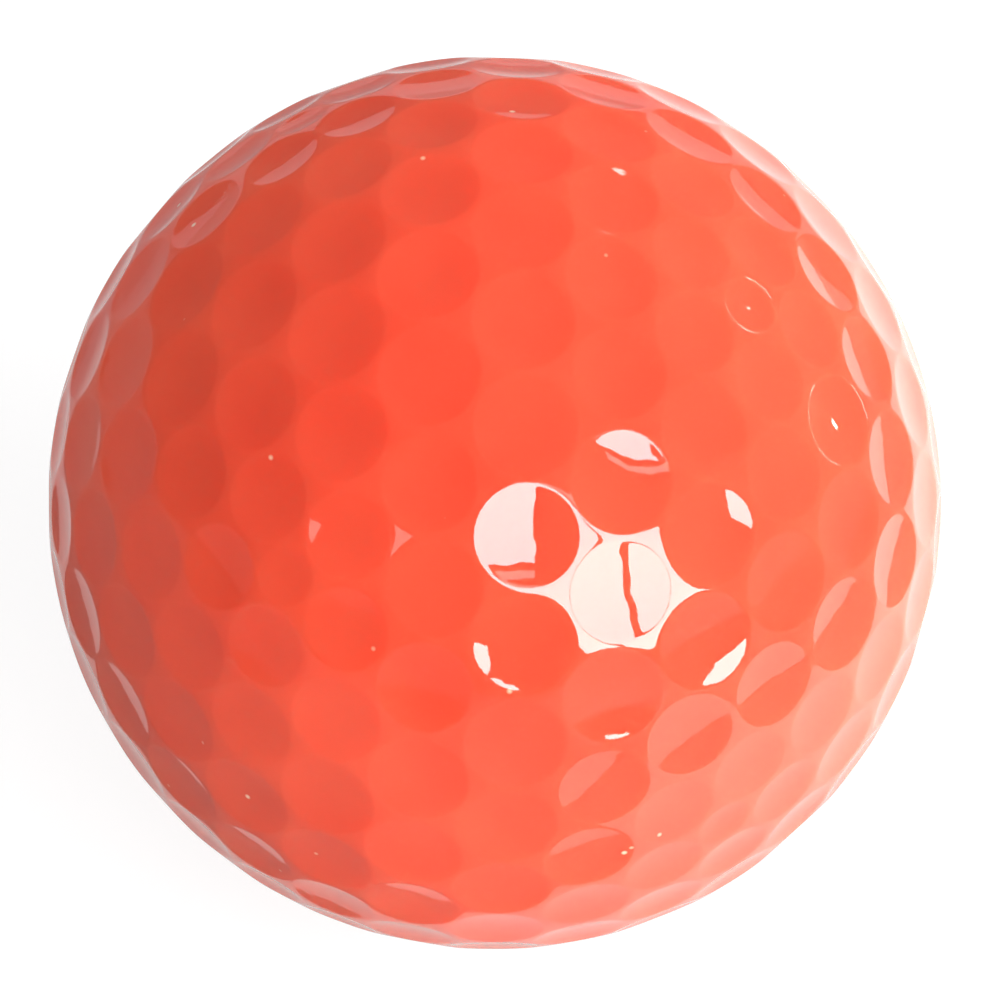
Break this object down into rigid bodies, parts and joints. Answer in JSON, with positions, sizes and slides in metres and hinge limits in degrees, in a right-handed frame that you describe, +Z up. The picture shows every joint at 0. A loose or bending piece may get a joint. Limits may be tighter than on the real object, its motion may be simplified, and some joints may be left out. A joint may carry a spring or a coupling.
{
  "type": "golf ball",
  "caption": "Glossy red-orange golf ball: a solid rubber core in a hard dimpled cover, the dimples packed closely in a repeating three-way pattern.",
  "frame": {"origin": "the ball's centre", "axes": "+Z up; X, Y and Z are two-fold axes of the dimple pattern, so the XY, YZ and ZX planes are its mirror planes"},
  "size_m": [0.0424, 0.0424, 0.0424],
  "materials": {
    "core_rubber": "matte moulded polybutadiene rubber",
    "cover_gloss": "high-gloss clear coat over moulded ionomer"
  },
  "bodies": {
    "root": {"core": "core_rubber", "cover": "cover_gloss"}
  },
  "joints": []
}
